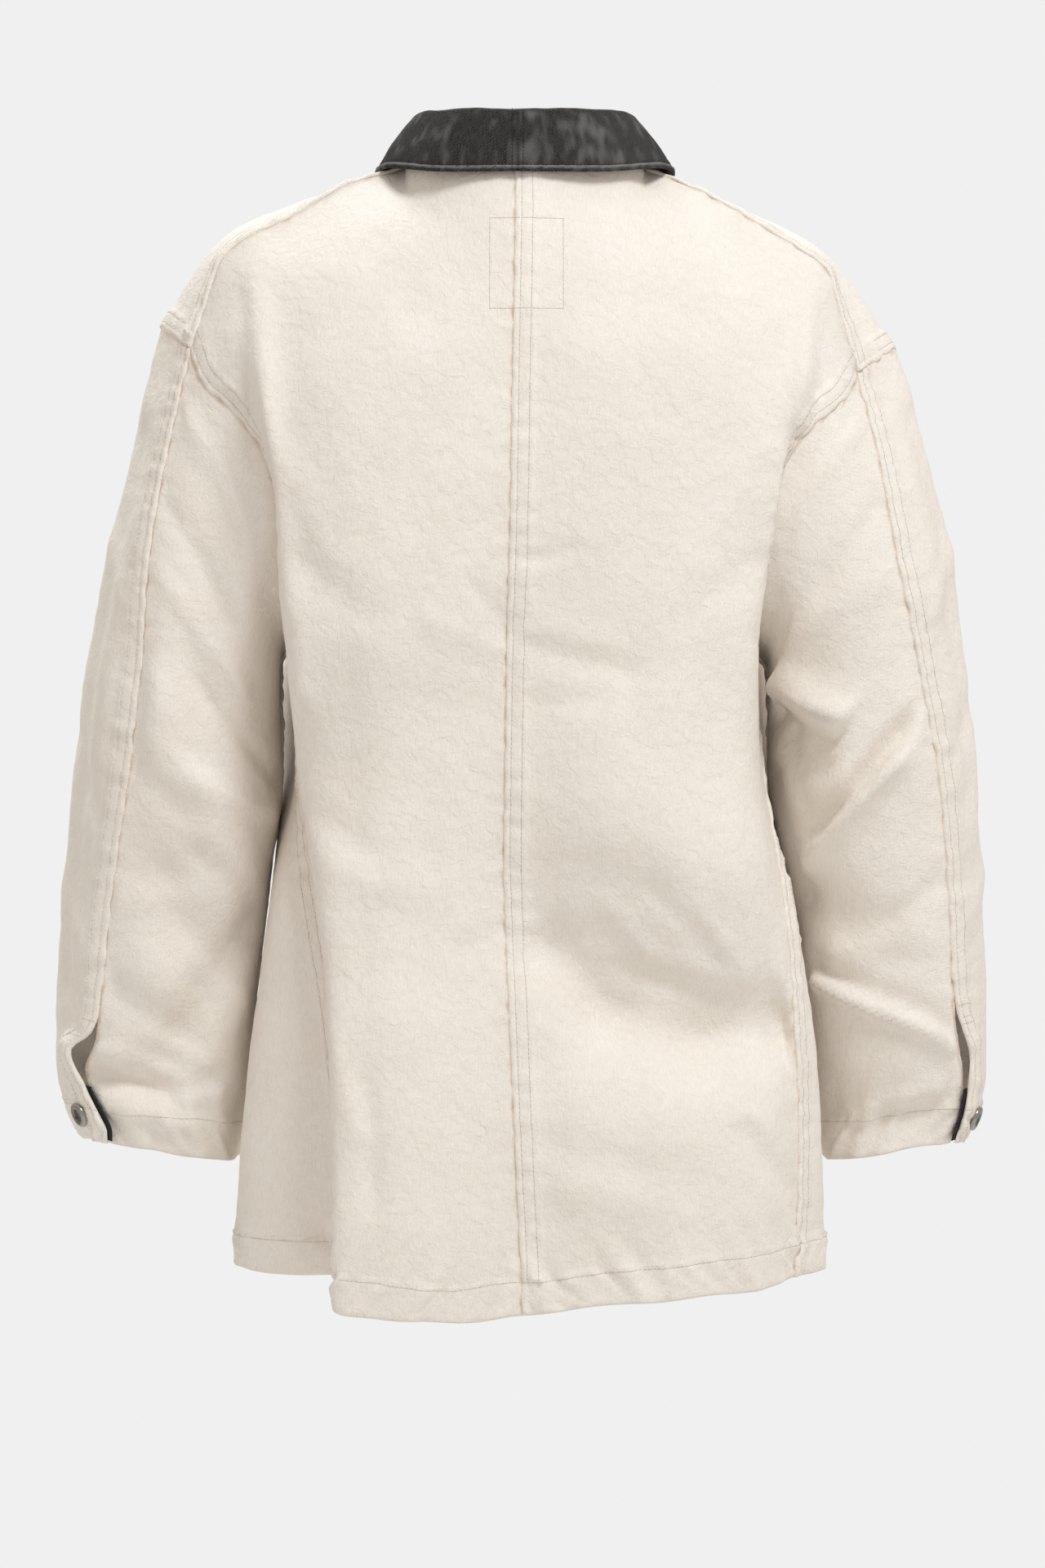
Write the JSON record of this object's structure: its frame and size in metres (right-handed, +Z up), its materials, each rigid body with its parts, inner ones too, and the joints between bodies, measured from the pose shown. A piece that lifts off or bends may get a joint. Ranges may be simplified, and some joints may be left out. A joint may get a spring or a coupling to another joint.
{
  "type": "chore jacket",
  "caption": "Hip-length chore jacket in heavy ecru twill with a dark folded collar and cuff vents that button, in its worn shape, hollow and open at neck, hem and cuffs.",
  "frame": {"origin": "middle of the neck opening, level with the collar seam at its back", "axes": "+Z up along the worn jacket, -Y towards its front, +X towards its left side"},
  "size_m": [0.6166, 0.2983, 0.7759],
  "materials": {
    "ecru_twill": "washed heavy cotton twill, matt",
    "dark_twill": "washed cotton twill, matt",
    "dark_metal": "antiqued dark nickel, satin"
  },
  "bodies": {
    "root": {"back_left": "ecru_twill", "back_right": "ecru_twill", "front_left": "ecru_twill", "front_right": "ecru_twill", "sleeve_back_left": "ecru_twill", "sleeve_front_left": "ecru_twill", "sleeve_back_right": "ecru_twill", "sleeve_front_right": "ecru_twill", "collar_left": "dark_twill", "collar_right": "dark_twill", "facing_left": "dark_twill", "facing_right": "dark_twill", "button_cuff_left": "dark_metal", "button_cuff_right": "dark_metal", "button_front_1": "dark_metal", "button_front_2": "dark_metal", "button_front_3": "dark_metal", "button_front_4": "dark_metal", "button_front_5": "dark_metal"}
  },
  "joints": []
}
